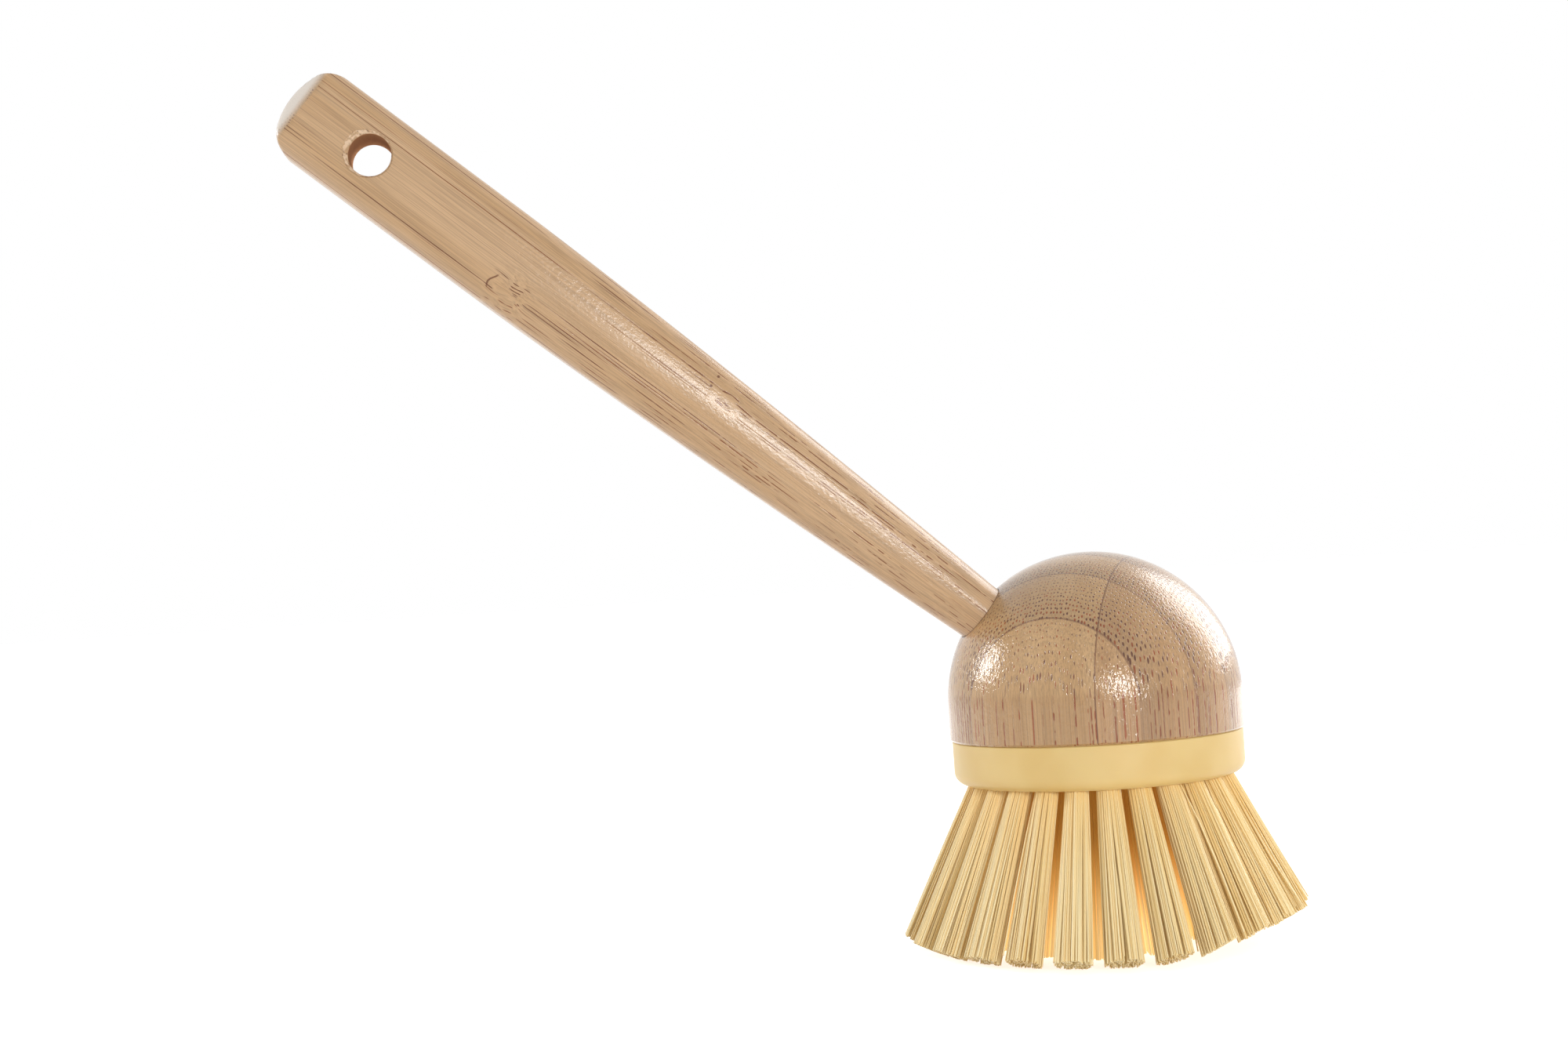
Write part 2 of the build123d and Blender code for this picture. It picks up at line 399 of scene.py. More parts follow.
@dataclass(frozen=True)
class Grain:
    """Bamboo as a solid: its fibre bundles run along the vector's Z, so they cut to dots, dashes or lines.

    Rates are changes in a millimetre along each axis. An edge holds the two ends of a soft step, and a Step
    also holds the values before and after it.
    """

    name: str = "bamboo"
    wanders: tuple[tuple[Rates, float], ...] = (((0.05, 0.05, 0.008), 2.0), ((0.35, 0.35, 0.06), 0.7))
    disorder: float = 0.5
    growth: Span = (0.45, 0.55)
    variety: Span = (0.4, 0.8)
    bundle_edge: Span = (0.07, -0.06)
    # Painted highlight: a paler ring round each bundle stands in for the light caught by the relief beside
    # its dent.
    rim_highlight_edge: Span = (0.26, 0.08)
    rim_highlight_share: float = 0.38
    luck_weight: float = -0.7
    luck_shade: Step = (-0.35, 0.40, 0.10, 1.0)
    gap_rates: Rates = (1.25, 1.25, 0.42)
    gap_edge: Span = (0.57, 0.49)
    fibre_rates: Rates = (4.0, 4.0, 0.04)
    fibre_shade: Step = (0.32, 0.64, 0.78, 1.10)
    broad_rates: Rates = (0.20, 0.20, 0.012)
    broad_edge: Span = (0.34, 0.66)
    rust_edge: Span = (0.35, 0.85)
    broken_rust: float = 0.75
    stain_share: float = 0.94
    fibre_matt: float = 0.12
    bundle_matt: float = 0.10
    fibre_height: float = 0.07
    bundle_height: float = -0.45
    peel_rates: Rates = (1.5, 1.5, 1.0)

    def tree(self) -> bpy.types.NodeTree:
        """The node group, made once."""
        if self.name in bpy.data.node_groups:
            return bpy.data.node_groups[self.name]
        numbers = ("Density", "Spacing", "Size", "Wander", "Broken", "Gloss")
        inputs = {"Vector": "NodeSocketVector"}
        inputs |= {label: "NodeSocketFloat" for label in numbers}
        inputs |= {label: "NodeSocketColor" for label in ("Pale", "Mid", "Dark", "Rust")}
        outputs = {"Color": "NodeSocketColor", "Roughness": "NodeSocketFloat", "Height": "NodeSocketFloat"}
        graph, start, made = new_group(self.name, inputs, outputs)
        given = start.outputs
        place, density = given["Vector"], given["Density"]
        warped = place
        for rates, reach in self.wanders:
            warped = graph.stirred(warped, place, rates, graph.times(given["Wander"], reach))

        cells = graph.add("ShaderNodeTexVoronoi", voronoi_dimensions="2D", feature="F1")
        pitch = graph.combined(*[given["Spacing"]] * 3)
        graph.feed(cells.inputs["Vector"], graph.vector("DIVIDE", warped, pitch))
        preset(cells, {"Scale": 1.0, "Randomness": self.disorder})
        luck, size, hue = graph.parts(cells.outputs["Color"])
        grown, varied = graph.line(density, *self.growth), graph.line(size, *self.variety)
        radius = graph.times(grown, varied, given["Size"])
        past = graph.maths("SUBTRACT", cells.outputs["Distance"], radius)
        dot = graph.ranged(past, *self.bundle_edge)
        kept = graph.ranged(graph.noise(warped, self.gap_rates, detail=1.0), *self.gap_edge)
        left = graph.mixed(given["Broken"], (1.0,) * 3, graph.combined(kept, kept, kept))
        shade = graph.ranged(graph.line(luck, self.luck_weight, density), *self.luck_shade)
        shade = graph.times(shade, left)
        bundle = graph.times(dot, shade)

        fibre = graph.noise(warped, self.fibre_rates, detail=3.0, roughness=0.65)
        broad = graph.noise(place, self.broad_rates, detail=3.0, roughness=0.55)
        colour = graph.mixed(graph.ranged(broad, *self.broad_edge), given["Mid"], given["Pale"])
        colour = graph.dimmed(colour, graph.ranged(fibre, *self.fibre_shade))
        # Painted highlight: the wood is mixed towards its pale colour in a ring round each bundle, as light
        # caught on the relief.
        painted_rim_highlight = graph.times(graph.ranged(past, *self.rim_highlight_edge), shade, self.rim_highlight_share)
        colour = graph.mixed(painted_rim_highlight, colour, given["Pale"])
        rusty = graph.times(given["Broken"], self.broken_rust)
        warmth = graph.most(graph.ranged(hue, *self.rust_edge), rusty)
        stain = graph.mixed(warmth, given["Dark"], given["Rust"])
        graph.feed(made.inputs["Color"], graph.mixed(graph.times(bundle, self.stain_share), colour, stain))

        gloss = graph.maths("SUBTRACT", given["Gloss"], self.fibre_matt / 2)
        rough = graph.line(bundle, self.bundle_matt, graph.line(fibre, self.fibre_matt, gloss))
        graph.feed(made.inputs["Roughness"], rough)
        ripple = graph.line(fibre, self.fibre_height, graph.times(dot, self.bundle_height))
        peel = graph.noise(place, self.peel_rates, roughness=0.6)
        graph.feed(made.inputs["Height"], graph.maths("ADD", peel, ripple))
        return graph.tree


def new_material(name: str) -> tuple[bpy.types.Material, Graph, bpy.types.Node]:
    """An empty material with its Principled shader linked to the output."""
    material = bpy.data.materials.new(name)
    material.use_nodes = True
    graph = Graph(material.node_tree)
    shader = graph.add("ShaderNodeBsdfPrincipled")
    output = graph.add("ShaderNodeOutputMaterial")
    graph.feed(output.inputs["Surface"], shader.outputs[0])
    return material, graph, shader


def turned_place(graph: Graph, turn: Matrix, origin: Vector) -> Socket:
    """Object coordinates in millimetres, in a turned and moved frame.

    Args:
        graph: The material's graph.
        turn: Rotation whose columns are the frame's axes.
        origin: The frame's origin, in metres.

    Returns:
        The vector socket.
    """
    inverse = turn.transposed()
    place = graph.add("ShaderNodeTexCoord").outputs["Object"]
    mapping = graph.add("ShaderNodeMapping", vector_type="POINT")
    preset(mapping, {"Scale": (1 / MM,) * 3, "Rotation": inverse.to_euler("XYZ")})
    preset(mapping, {"Location": inverse @ (origin * -1 / MM)})
    graph.feed(mapping.inputs["Vector"], place)
    return mapping.outputs[0]


@dataclass(frozen=True)
class BambooFinish:
    """Clear-lacquered bamboo, as the handle and the head have it."""

    name: str
    pale: Colour
    mid: Colour
    dark: Colour
    rust: Colour
    spacing: float
    size: float
    wander: float
    gloss: float
    bump: float
    coat: float
    coat_roughness: float
    calm: Span
    calm_ripple: float = 0.06
    ior: float = 1.5
    specular: float = 0.15
    grain: Grain = Grain()

    def placed(self, graph: Graph, place: object, density: object, broken: object) -> bpy.types.Node:
        """The bamboo group in a material, with this finish's values.

        Args:
            graph: The material's graph.
            place: Vector in millimetres with Z along the fibres.
            density: How strongly the fibre bundles show, 0 to 1.
            broken: How far the bundles are broken up into dashes, 0 to 1.

        Returns:
            The group's node.
        """
        node = graph.add("ShaderNodeGroup", node_tree=self.grain.tree())
        for label, value in {
            "Vector": place,
            "Density": density,
            "Broken": broken,
            "Spacing": self.spacing,
            "Size": self.size,
            "Wander": self.wander,
            "Gloss": self.gloss,
            "Pale": self.pale,
            "Mid": self.mid,
            "Dark": self.dark,
            "Rust": self.rust,
        }.items():
            graph.feed(node.inputs[label], value)
        return node

    def lacquered(self, graph: Graph, shader: bpy.types.Node, wood: bpy.types.Node, colour: Socket) -> None:
        """Feeds the shader with the wood under a clear coat whose ripple dies away at the outline.

        Args:
            graph: The material's graph.
            shader: Its Principled shader.
            wood: The bamboo group's node.
            colour: The finished colour.
        """
        facing = graph.add("ShaderNodeLayerWeight")
        preset(facing, {"Blend": 0.5})
        strength = graph.ranged(facing.outputs["Facing"], *self.calm, 1.0, self.calm_ripple)
        normal = graph.bump(wood.outputs["Height"], self.bump, strength)
        graph.feed(shader.inputs["Base Color"], colour)
        graph.feed(shader.inputs["Roughness"], wood.outputs["Roughness"])
        graph.feed(shader.inputs["Normal"], normal)
        graph.feed(shader.inputs["Coat Normal"], normal)
        preset(shader, {"IOR": self.ior, "Specular IOR Level": self.specular})
        preset(shader, {"Coat Weight": self.coat, "Coat Roughness": self.coat_roughness})


@dataclass(frozen=True)
class PlasticFinish:
    """Satin moulded plastic with a faint texture."""

    name: str
    colour: Colour
    shade: Colour
    roughness: float
    cloud_rate: float = 0.08
    cloud_edge: Span = (0.3, 0.7)
    grain_rate: float = 5.0
    grain_matt: float = 0.10
    grain_depth: float = 0.004 * MM
    inner_light: float = 0.25
    inner_colour: Colour = (1.0, 0.7, 0.35)
    inner_reach: float = 1.2 * MM
    ior: float = 1.49

    def material(self) -> bpy.types.Material:
        """The material of this finish."""
        material, graph, shader = new_material(self.name)
        place = graph.fine_place()
        cloud = graph.ranged(graph.noise(place, (self.cloud_rate,) * 3), *self.cloud_edge)
        graph.feed(shader.inputs["Base Color"], graph.mixed(cloud, self.colour, self.shade))
        grain = graph.noise(place, (self.grain_rate,) * 3)
        rough = graph.line(grain, self.grain_matt, self.roughness - self.grain_matt / 2)
        graph.feed(shader.inputs["Roughness"], rough)
        graph.feed(shader.inputs["Normal"], graph.bump(grain, self.grain_depth))
        preset(shader, {"Subsurface Weight": self.inner_light, "Subsurface Radius": self.inner_colour})
        preset(shader, {"Subsurface Scale": self.inner_reach, "IOR": self.ior})
        return material


@dataclass(frozen=True)
class BristleFinish:
    """Straw-coloured filaments, each a little different. Their roots and the inner tufts are coloured a
    deeper orange as painted shade, and every filament glows a little as painted light through the tufts. The
    steps run up from the tips, in metres.
    """

    name: str
    pale: Colour
    deep: Colour
    painted_glow_colour: Colour
    roughness: float
    tone_matt: float = -0.10
    # Painted shade: how far the roots and the inner tufts are coloured towards the deeper orange of shaded,
    # lit-through filaments.
    painted_root_glow: Step = (14 * MM, 32 * MM, 0.0, 0.25)
    painted_inner_glow: Step = (0.0, 24 * MM, 0.1, 1.0)
    # Painted glow: every filament glows faintly as if lit through, the inner tufts most towards their tips.
    painted_glow: Step = (3 * MM, 26 * MM, 0.9, 0.02)
    least_painted_glow: float = 0.1
    painted_glow_strength: float = 0.42
    ior: float = 1.45

    def material(self) -> bpy.types.Material:
        """The material of this finish."""
        material, graph, shader = new_material(self.name)
        tone = graph.add("ShaderNodeAttribute", attribute_name=Tufts.TONE).outputs["Fac"]
        shelter = graph.add("ShaderNodeAttribute", attribute_name=Tufts.SHELTER).outputs["Fac"]
        height = graph.parts(graph.add("ShaderNodeTexCoord").outputs["Object"])[2]
        colour = graph.mixed(tone, self.deep, self.pale)
        # Painted shade: the inner tufts, most near the plate, and the roots of all tufts are mixed towards a
        # deeper orange that stands in for light seen through shaded filaments.
        painted_inner_glow = graph.times(shelter, graph.ranged(height, *self.painted_inner_glow))
        colour = graph.mixed(graph.most(graph.ranged(height, *self.painted_root_glow), painted_inner_glow), colour, self.painted_glow_colour)
        graph.feed(shader.inputs["Base Color"], colour)
        graph.feed(shader.inputs["Roughness"], graph.line(tone, self.tone_matt, self.roughness))
        # Painted glow: the filaments emit their own colour, though no lamp is in them, standing in for light
        # passing through the tufts.
        painted_glow = graph.line(shelter, graph.ranged(height, *self.painted_glow), self.least_painted_glow)
        graph.feed(shader.inputs["Emission Color"], graph.dimmed(colour, painted_glow))
        preset(shader, {"Emission Strength": self.painted_glow_strength, "IOR": self.ior})
        return material


@dataclass(frozen=True)
class WireFinish:
    """Flat drawn steel wire."""

    name: str
    colour: Colour
    roughness: float
    scratch_rates: Rates = (2.0, 2.0, 14.0)
    scratch_matt: float = 0.2
    tarnish: float = 0.8

    def material(self) -> bpy.types.Material:
        """The material of this finish."""
        material, graph, shader = new_material(self.name)
        scratches = graph.noise(graph.fine_place(), self.scratch_rates, detail=3.0)
        tarnished = tuple(part * self.tarnish for part in self.colour)
        graph.feed(shader.inputs["Base Color"], graph.mixed(scratches, self.colour, tarnished))
        graph.feed(shader.inputs["Roughness"], graph.line(scratches, self.scratch_matt, self.roughness))
        preset(shader, {"Metallic": 1.0})
        return material


@dataclass(frozen=True)
class Knot:
    """A knot in the handle's grain, in millimetres across the bar (x) and along it (z)."""

    x: float
    z: float
    half_x: float
    half_z: float
    soft_x: float
    soft_z: float

    def mask(self, graph: Graph, x: Socket, z: Socket) -> Socket:
        """One in the knot, nought outside it."""
        along = graph.window(z, self.z, self.half_z, self.soft_z)
        return graph.times(along, graph.window(x, self.x, self.half_x, self.soft_x))


@dataclass(frozen=True)
class HandleMarks:
    """Knots, streaks, crack, spots, bare wood and a painted highlight on the end facet of the handle, in
    millimetres and shares.

    A Band holds its middle, half its width and the softness of its ends.
    """

    knots: tuple[Knot, ...] = (
        Knot(x=-6.5, z=144.0, half_x=5.0, half_z=3.0, soft_x=2.0, soft_z=3.0),
        Knot(x=3.6, z=97.0, half_x=2.2, half_z=3.0, soft_x=1.5, soft_z=4.0),
    )
    knot_rates: Rates = (0.24, 0.24, 0.16)
    knot_push: float = 3.0
    streak_rates: Rates = (0.16, 0.16, 0.007)
    streak_density: Step = (0.40, 0.62, 0.25, 0.95)
    upper_band: Band = (8.2, 1.2, 1.0)
    upper_density: float = 0.8
    lower_edge: Span = (-0.5, -3.5)
    lower_density: float = 0.75
    broken: Step = (140.0, 70.0, 0.1, 0.95)
    crack_reach: float = 148.2
    crack_wave: Span = (1.3, 0.5)
    crack_edge: Span = (0.28, 0.10)
    crack_across: Band = (-5.5, 1.6, 0.4)
    spots: tuple[Span, ...] = ((3.7, 101.0), (6.2, 100.9))
    spot_edge: Span = (0.42, 0.18)
    crack_share: float = 0.85
    wall_edge: Span = (0.12, 0.02)
    wall_share: float = 0.85
    wall_colour: Colour = linear(180, 128, 88)
    chip_sunk: Span = (0.12, 0.3)
    chip_edge: Span = (6.3, 5.9)
    torn_rate: float = 1.1
    torn_share: Step = (0.40, 0.60, 0.1, 0.8)
    torn_colour: Colour = linear(244, 216, 184)
    # Painted highlight: the worn end facet is mixed towards near-white, as a lamp's reflection shows on it.
    facet_edge: Span = (-0.2, 1.8)
    facet_highlight_share: float = 0.85
    facet_painted_highlight: Colour = linear(246, 238, 228)

    def density(self, graph: Graph, place: Socket, x: Socket, knots: Socket) -> Socket:
        """How strongly the fibre bundles show, in streaks, at two edges and in the knots."""
        streaks = graph.ranged(graph.noise(place, self.streak_rates, detail=1.0), *self.streak_density)
        upper = graph.times(graph.window(x, *self.upper_band), self.upper_density)
        lower = graph.times(graph.ranged(x, *self.lower_edge), self.lower_density)
        return graph.most(streaks, upper, lower, knots)

    def cracks(self, graph: Graph, x: Socket, z: Socket) -> Socket:
        """One in the fine crack across the bar and in the dark spots, nought elsewhere."""
        rate, height = self.crack_wave
        wave = graph.times(graph.maths("SINE", graph.times(x, rate)), height)
        away = graph.apart(graph.maths("ADD", z, wave), self.crack_reach)
        crack = graph.times(graph.ranged(away, *self.crack_edge), graph.window(x, *self.crack_across))
        across = graph.combined(x, 0.0, z)
        places = [(spot_x, 0.0, spot_z) for spot_x, spot_z in self.spots]
        spots = [graph.ranged(graph.vector("DISTANCE", across, spot), *self.spot_edge) for spot in places]
        return graph.most(crack, *spots)


@dataclass
class Handle:
    """Leaning bamboo bar with a round neck, a tapering grip, a crowned end and a hanging hole.

    A reach is a distance from the ball's centre along the bar.
    """

    ball_centre: float = 48.8 * MM
    lean: float = math.radians(40.0)
    tenon_end: float = 14.0 * MM
    neck_reach: float = 31.0 * MM
    neck_half: float = 6.0 * MM
    grip_reach: float = 150.0 * MM
    grip_half_width: float = 9.8 * MM
    grip_half_thickness: float = 6.3 * MM
    taper_power: float = 1.6
    neck_corner_share: float = 0.985
    grip_corner_share: float = 0.70
    grip_convexity: float = 0.12
    taper_convexity: float = 0.75
    reach: float = 201.3 * MM
    end_start: float = 186.0 * MM
    crown_radius: float = 13.8 * MM
    facet_start: float = 197.9 * MM
    facet_slope: float = 1.1
    end_blend: float = 0.5 * MM
    end_ease: float = 1.5 * MM
    end_ease_share: float = 0.4
    hole_reach: float = 181.9 * MM
    hole_radius: float = 4.25 * MM
    hole_ease: float = 0.4 * MM
    hole_steps: int = 96
    overrun: float = 1.0 * MM
    chip_shift: Span = (-0.1 * MM, 0.55 * MM)
    chip_radius: float = 5.05 * MM
    chip_depth: float = 1.3 * MM
    chip_points: int = 48
    chip_raggedness: float = 0.022
    corner_round: float = 5.0 * MM
    corner_steps: int = 24
    flat_steps: int = 8
    least_corner: float = 0.3 * MM
    neck_lead: float = 4.0 * MM
    bar_steps: int = 44
    end_shares: tuple[float, ...] = (0.3, 0.6, 0.8, 0.92, 1.0)
    end_insets: tuple[float, ...] = (0.15, 0.4, 0.8, 1.3, 2.0, 2.7, 3.2, 3.7, 4.4, 5.2, 6.0)
    seed: int = 3
    marks: HandleMarks = HandleMarks()
    finish: BambooFinish = BambooFinish(
        name="handle_bamboo",
        pale=linear(203, 167, 128),
        mid=linear(195, 157, 115),
        dark=linear(104, 54, 24),
        rust=linear(134, 78, 38),
        spacing=0.68,
        size=0.20,
        wander=0.3,
        gloss=0.42,
        bump=0.045 * MM,
        coat=0.55,
        coat_roughness=0.17,
        calm=(0.25, 0.7),
    )

    @property
    def turn(self) -> Matrix:
        """Rotation from the upright bar, its width along X, to its lean."""
        along = Vector((-math.cos(self.lean), 0, math.sin(self.lean)))
        across = Vector((math.sin(self.lean), 0, math.cos(self.lean)))
        return Matrix((across, Vector((0, 1, 0)), along)).transposed()

    @property
    def origin(self) -> Vector:
        """Centre of the ball, which the bar's axis passes through."""
        return Vector((0, 0, self.ball_centre))

    @property
    def sides(self) -> int:
        """How many points go round a ring."""
        return 4 * (self.corner_steps + self.flat_steps)

    def narrowing(self, reach: float) -> float:
        """Share of the way from the grip to the neck at a distance from the ball's centre."""
        return min(1.0, max(0.0, (self.grip_reach - reach) / (self.grip_reach - self.neck_reach)))

    def section(self, reach: float) -> tuple[float, float, float]:
        """Half width, half thickness and corner radius of the bar at a distance from the ball's centre."""
        narrowing = self.narrowing(reach)
        blend = narrowing**self.taper_power
        half_width = self.grip_half_width - (self.grip_half_width - self.neck_half) * blend
        half_thickness = self.grip_half_thickness - (self.grip_half_thickness - self.neck_half) * blend
        share = self.grip_corner_share + (self.neck_corner_share - self.grip_corner_share) * narrowing
        return half_width, half_thickness, share * half_thickness

    def rim(self, reach: float, inset: float) -> list[Span]:
        """A rounded rectangle of points round the bar, from the middle of the side at +X.

        Args:
            reach: Distance from the ball's centre.
            inset: How far inside the bar's outline the points lie.

        Returns:
            X and Y of each point.
        """
        half_width, half_thickness, corner = self.section(reach)
        corner = min(max(corner - inset, self.least_corner), half_thickness - inset)
        middles = (half_width - inset - corner, half_thickness - inset - corner)
        points: list[Span] = []
        for quarter, (right, front) in enumerate(((1, 1), (-1, 1), (-1, -1), (1, -1))):
            centre = (right * middles[0], front * middles[1])
            turned = arc(corner, centre, 90 * quarter, 90 * quarter + 90, self.corner_steps)
            if points:
                points += self.between(points[-1], turned[0])
            points += turned
        points += self.between(points[-1], points[0])
        start = self.flat_steps // 2
        points = points[-start:] + points[:-start]
        fall = self.convexity(reach) / half_width**2
        return [(x, y * (1 - fall * x**2)) for x, y in points]

    def convexity(self, reach: float) -> float:
        """Share of the thickness by which the wide faces fall away towards the bar's edges."""
        narrowing = self.narrowing(reach)
        return (self.grip_convexity + self.taper_convexity * narrowing) * (1 - narrowing)

    def between(self, first: Span, last: Span) -> list[Span]:
        """Points along a flat side, without its ends."""
        shares = [step / self.flat_steps for step in range(1, self.flat_steps)]
        run, rise = last[0] - first[0], last[1] - first[1]
        return [(first[0] + run * share, first[1] + rise * share) for share in shares]

    def end_reach(self, x: float, y: float, inset: float) -> float:
        """Reach of the end over a point of the section.

        Args:
            x: Place across the width.
            y: Place through the thickness.
            inset: Distance from the section's outline, where the edge is eased.

        Returns:
            The lower of the crown and the worn facets, blended.
        """
        crown = self.reach - self.crown_radius + math.sqrt(self.crown_radius**2 - x**2)
        middle = self.grip_half_width - self.corner_round
        inner = self.crown_radius - self.corner_round
        if abs(x) > middle * self.crown_radius / inner:
            base = self.reach - self.crown_radius + math.sqrt(inner**2 - middle**2)
            crown = base + math.sqrt(max(self.corner_round**2 - (abs(x) - middle) ** 2, 0.0))
        facet = self.facet_start + self.facet_slope * (self.grip_half_thickness - abs(y))
        overlap = max(self.end_blend - abs(crown - facet), 0.0) / self.end_blend
        near_edge = max(self.end_ease - inset, 0.0)
        eased = near_edge**2 / self.end_ease * self.end_ease_share * min(1.0, abs(x) / self.grip_half_width)
        return min(crown, facet) - overlap**2 * self.end_blend / 4 - eased

    def stations(self) -> list[tuple[float, float, float]]:
        """Rings of the bar, each as reach, inset and share of the way from the end's start to its surface."""
        rings = [(self.tenon_end, 0.0, 0.0), (self.neck_reach - self.neck_lead, 0.0, 0.0)]
        run = self.end_start - self.neck_reach
        for step in range(self.bar_steps + 1):
            rings.append((self.neck_reach + run * step / self.bar_steps, 0.0, 0.0))
        rings += [(self.end_start, 0.0, share) for share in self.end_shares]
        rings += [(self.end_start, inset * MM, 1.0) for inset in self.end_insets]
        return rings

    def bar(self) -> bpy.types.Object:
        """The upright bar without its hole, extruded ring by ring."""
        stations = self.stations()
        deselect_all()
        bpy.ops.mesh.primitive_circle_add(vertices=self.sides, radius=1.0, fill_type="NGON")
        piece = bpy.context.object
        piece.name = "bamboo_handle"
        bpy.ops.object.mode_set(mode="EDIT")
        bpy.ops.mesh.select_all(action="SELECT")
        for _ in stations[1:]:
            bpy.ops.mesh.extrude_region_move(TRANSFORM_OT_translate={"value": (0, 0, 1)})
        bpy.ops.mesh.poke()
        bpy.ops.mesh.select_all(action="SELECT")
        bpy.ops.mesh.normals_make_consistent(inside=False)
        bpy.ops.object.mode_set(mode="OBJECT")
        rims = [self.rim(reach, inset) for reach, inset, _ in stations]
        for vertex in piece.data.vertices:
            if vertex.co.xy.length < 0.5:
                vertex.co = Vector((0, 0, self.reach))
                continue
            level = round(vertex.co.z)
            reach, inset, share = stations[level]
            x, y = rims[level][ring_place(vertex.co, self.sides)]
            vertex.co = Vector((x, y, reach + (self.end_reach(x, y, inset) - reach) * share))
        return piece

    def drill(self, piece: bpy.types.Object) -> None:
        """Drills the hanging hole through the upright bar, eases its rims and chips the front one."""
        face, ease, over = self.grip_half_thickness, self.hole_ease, self.overrun
        wide = self.hole_radius + ease + over
        outline = [(0.0, -face - over), (wide, -face - over), (self.hole_radius, ease - face)]
        outline += [(self.hole_radius, face - ease), (wide, face + over), (0.0, face + over)]
        through = spun("drill", outline, self.hole_steps)
        along_y = rotation(-90, "X")
        through.matrix_world = Matrix.Translation((0, 0, self.hole_reach)) @ along_y
        cut(piece, through)

        deselect_all()
        bpy.ops.mesh.primitive_cone_add(
            vertices=self.chip_points,
            radius1=self.chip_radius + over,
            radius2=self.chip_radius - self.chip_depth,
            depth=over + self.chip_depth,
        )
        chip = bpy.context.object
        chance = random.Random(self.seed)
        ragged = [1 + chance.gauss(0, self.chip_raggedness) for _ in range(self.chip_points)]
        for vertex in chip.data.vertices:
            vertex.co.xy *= ragged[ring_place(vertex.co, self.chip_points)]
        shift_x, shift_z = self.chip_shift
        place = (shift_x, (self.chip_depth - over) / 2 - face, self.hole_reach + shift_z)
        chip.matrix_world = Matrix.Translation(place) @ along_y
        cut(piece, chip)

    def material(self) -> bpy.types.Material:
        """The handle's bamboo, its fibres along the bar and its grain stirred at two knots."""
        material, graph, shader = new_material(self.finish.name)
        place = turned_place(graph, self.turn, self.origin)
        x, y, z = graph.parts(place)
        marks = self.marks
        knots = graph.most(*[knot.mask(graph, x, z) for knot in marks.knots])
        push = graph.times(knots, marks.knot_push)
        stirred = graph.stirred(place, place, marks.knot_rates, push, detail=1.0)
        density = marks.density(graph, place, x, knots)
        wood = self.finish.placed(graph, stirred, density, graph.ranged(z, *marks.broken))

        in_front = graph.maths("LESS_THAN", y, 0.0)
        crack = graph.times(marks.cracks(graph, x, z), in_front, marks.crack_share)
        colour = graph.mixed(crack, wood.outputs["Color"], self.finish.dark)

        middle = (0.0, 0.0, self.hole_reach / MM)
        to_hole = graph.vector("DISTANCE", graph.combined(x, 0.0, z), middle)
        inside = graph.ranged(to_hole, *[self.hole_radius / MM + edge for edge in marks.wall_edge])
        colour = graph.mixed(graph.times(inside, marks.wall_share), colour, marks.wall_colour)
        face = self.grip_half_thickness / MM
        fall = self.grip_convexity * face / (self.grip_half_width / MM) ** 2
        sunk = graph.line(graph.times(x, x), -fall, y)
        chipped = graph.ranged(sunk, *[edge - face for edge in marks.chip_sunk])
        outside = graph.maths("SUBTRACT", in_front, inside, clamp=True)
        chipped = graph.times(chipped, graph.ranged(to_hole, *marks.chip_edge), outside)
        torn = graph.ranged(graph.noise(place, (marks.torn_rate,) * 3), *marks.torn_share)
        colour = graph.mixed(graph.times(chipped, torn), colour, marks.torn_colour)
        # Painted highlight: the end facet is coloured near-white where a lamp's reflection falls on it.
        end = graph.ranged(z, *[self.facet_start / MM + edge for edge in marks.facet_edge])
        colour = graph.mixed(graph.times(end, marks.facet_highlight_share), colour, marks.facet_painted_highlight)
        self.finish.lacquered(graph, shader, wood, colour)
        graph.feed(shader.inputs["Coat Weight"], graph.ranged(inside, 0.0, 1.0, self.finish.coat, 0.0))
        graph.feed(shader.inputs["Roughness"], graph.most(wood.outputs["Roughness"], inside))
        return material

    def build(self) -> None:
        """Makes, places and dresses the handle."""
        piece = self.bar()
        self.drill(piece)
        piece.matrix_world = Matrix.Translation(self.origin) @ self.turn.to_4x4()
        finish_piece(piece, Body.BRUSH, self.material(), ["handle"])


@dataclass(frozen=True)
class StaveMarks:
    """How the head's staves differ and how their joints show, with painted shade in the gap round the
    handle's bore, in millimetres and shares.
    """

    jumps: Span = (13.7, 37.3)
    density: Step = (0.0, 0.8, 1.0, 0.45)
    front_density: float = -0.25
    skirt_edge: Span = (3.6, 1.6)
    skirt_density: float = 0.9
    skirt_broken: float = 0.95
    tint: Span = (0.10, 0.96)
    right_tint: float = -0.06
    right_red: float = -0.035
    crowded: Step = (0.0, 0.7, 0.88, 1.06)
    layer_glue: Span = (0.18, 0.06)
    layer_glue_share: Span = (0.5, 0.15)
    cross_glue: Span = (0.20, 0.07)
    cross_glue_share: float = 0.65
    # A dark ring round the handle's bore: partly a glue line, partly painted shade in the gap where the
    # handle enters.
    bore_edge: Span = (0.4, 0.12)
    bore_glue_and_shade_share: float = 0.75
    skirt_tone: Span = (1.0, 0.92)
    skirt_powers: Span = (1.4, 1.8)


